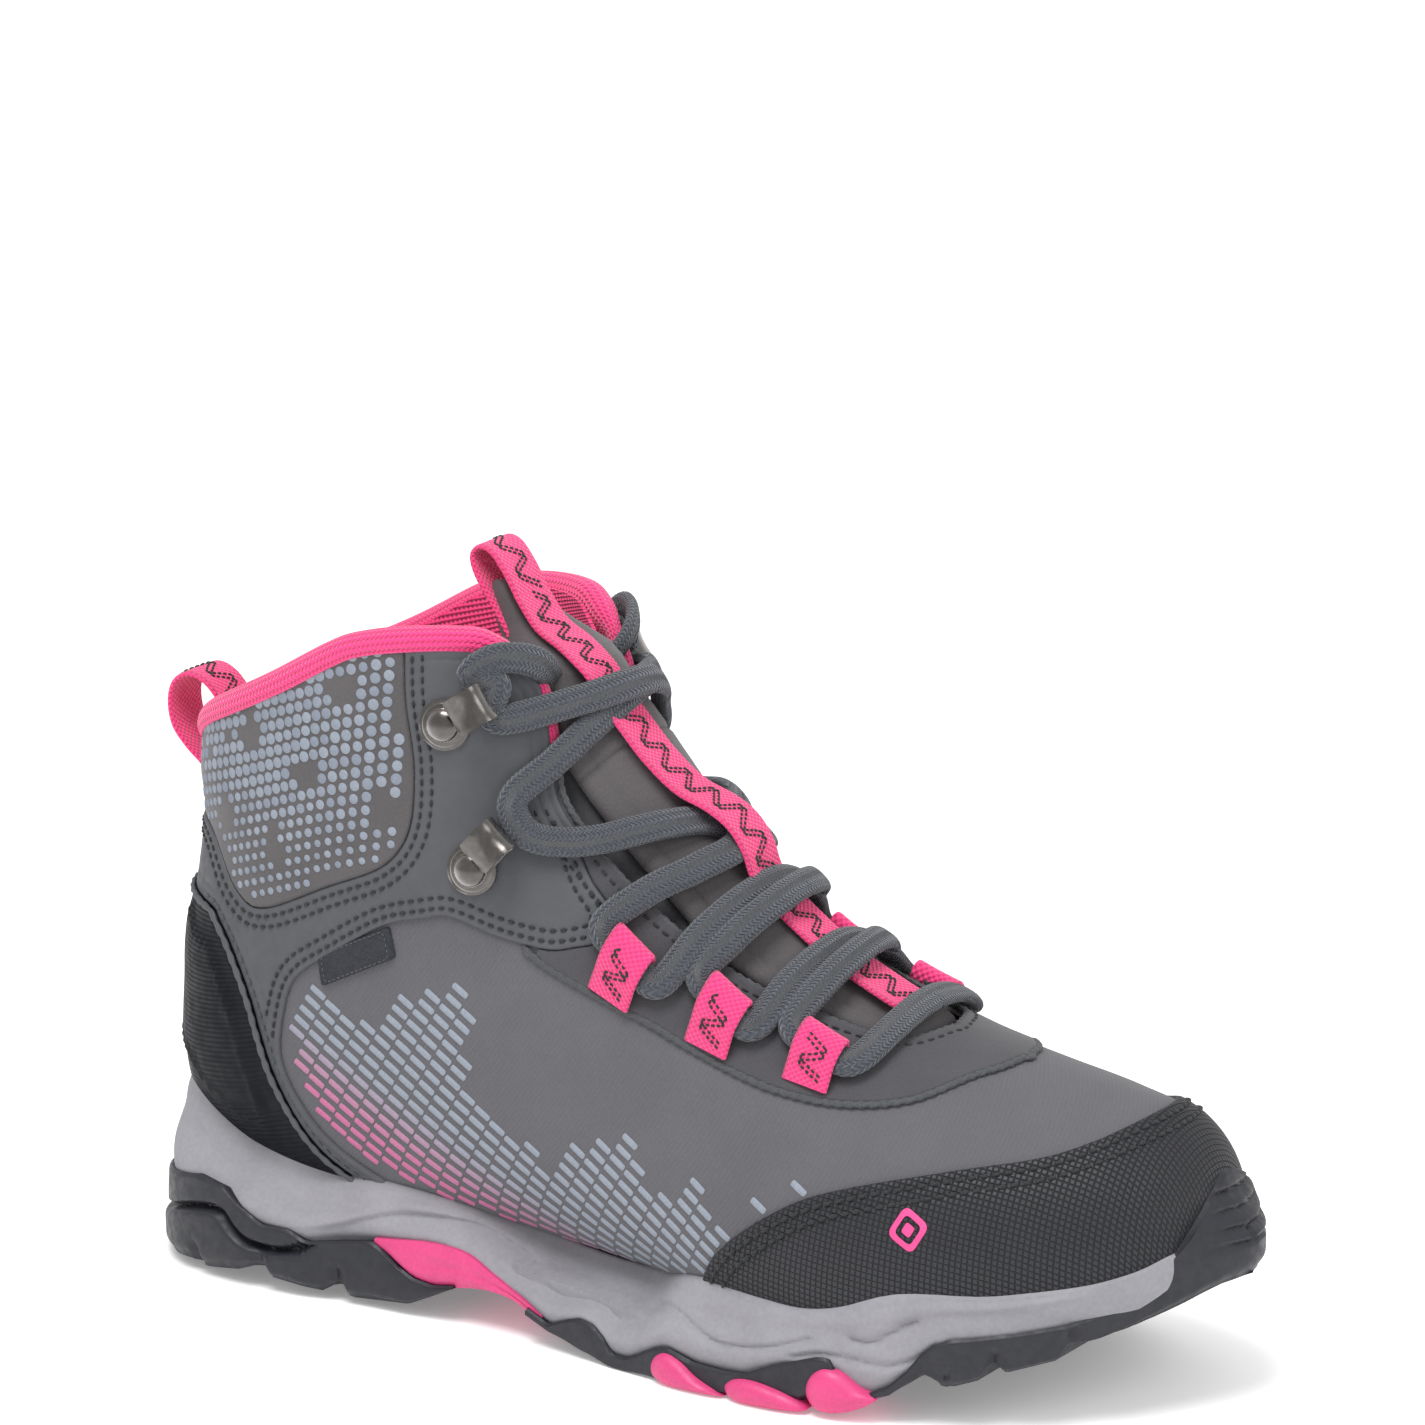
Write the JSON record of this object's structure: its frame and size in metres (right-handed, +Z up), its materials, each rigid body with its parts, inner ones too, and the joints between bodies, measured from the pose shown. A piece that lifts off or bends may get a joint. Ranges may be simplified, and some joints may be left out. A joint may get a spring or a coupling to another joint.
{
  "type": "hiking boot",
  "caption": "Mid-height lace-up hiking boot: softshell upper with toe cap, heel counter, webbing lace loops and hooks on a lugged rubber sole.",
  "frame": {"origin": "on the ground plane, at the middle of the heel tread", "axes": "+X towards the toe, +Z up, -Y towards the outer (lateral) side of a right foot"},
  "size_m": [0.2545, 0.0903, 0.1594],
  "materials": {
    "rubber_black": "moulded satin",
    "rubber_pink": "moulded satin",
    "foam_grey": "moulded EVA foam, matte",
    "steel": "brushed",
    "board": "matte",
    "footbed_foam": "brushed textile over foam",
    "softshell_grey": "fine twill",
    "softshell_smooth": "brushed",
    "toe_textile": "rubberised grid weave",
    "print_pink": "screen print",
    "counter_plastic": "satin moulded",
    "leather_grey": "fine grain, matte",
    "dotted_textile": "printed twill",
    "mesh_pink": "spacer mesh",
    "padding_foam": "open cell foam",
    "tag_fabric": "woven",
    "webbing_pink": "ribbed webbing",
    "hook_steel": "gunmetal",
    "lace_cord": "flat braid",
    "lining_grey": "knit"
  },
  "bodies": {
    "boot": {"heel_outsole": "rubber_black", "forefoot_outsole": "rubber_black", "arch_shank": "rubber_pink", "ball_pads": "rubber_pink", "midsole": "foam_grey", "shank_plate": "steel", "insole_board": "board", "outer_shell": "softshell_grey", "throat_panel": "softshell_smooth", "toe_cap": "toe_textile", "toe_badge": "print_pink", "toe_puff": "board", "heel_counter": "counter_plastic", "heel_stiffener": "board", "ankle_panel": "leather_grey", "collar_panel": "dotted_textile", "collar_binding": "mesh_pink", "collar_padding": "padding_foam", "lining": "mesh_pink", "side_tag": "tag_fabric", "loop_front": "webbing_pink", "loop_middle": "webbing_pink", "loop_rear": "webbing_pink", "hooks_lower": "hook_steel", "hooks_upper": "hook_steel", "hook_rivets": "hook_steel", "rivet_washers": "steel", "lace_lower": "lace_cord", "lace_upper": "lace_cord"},
    "tongue_body": {"tongue": "softshell_smooth", "tongue_padding": "padding_foam", "tongue_lining": "lining_grey", "tongue_strap": "webbing_pink"},
    "tongue_loop": {"tongue_pull_loop": "webbing_pink"},
    "heel_loop": {"heel_pull_loop": "webbing_pink"},
    "insole": {"footbed": "footbed_foam"}
  },
  "joints": [
    {"name": "tongue_swing", "type": "hinge", "parent": "boot", "child": "tongue_body", "pos_m": [0.144, 0, 0.0705], "axis": [0, 1, 0], "range_deg": [0, 10], "deforming": ["lace_lower", "lace_upper"]},
    {"name": "tongue_loop_flip", "type": "hinge", "parent": "tongue_body", "child": "tongue_loop", "pos_m": [0.0505, 0, 0.1485], "axis": [0, 1, 0], "range_deg": [-15, 15]},
    {"name": "heel_loop_tip", "type": "hinge", "parent": "boot", "child": "heel_loop", "pos_m": [-0.0305, 0, 0.118], "axis": [0, 1, 0], "range_deg": [-8, 8]},
    {"name": "insole_lift", "type": "slide", "parent": "boot", "child": "insole", "axis": [0, 0, 1], "range_m": [0, 0.008]}
  ]
}
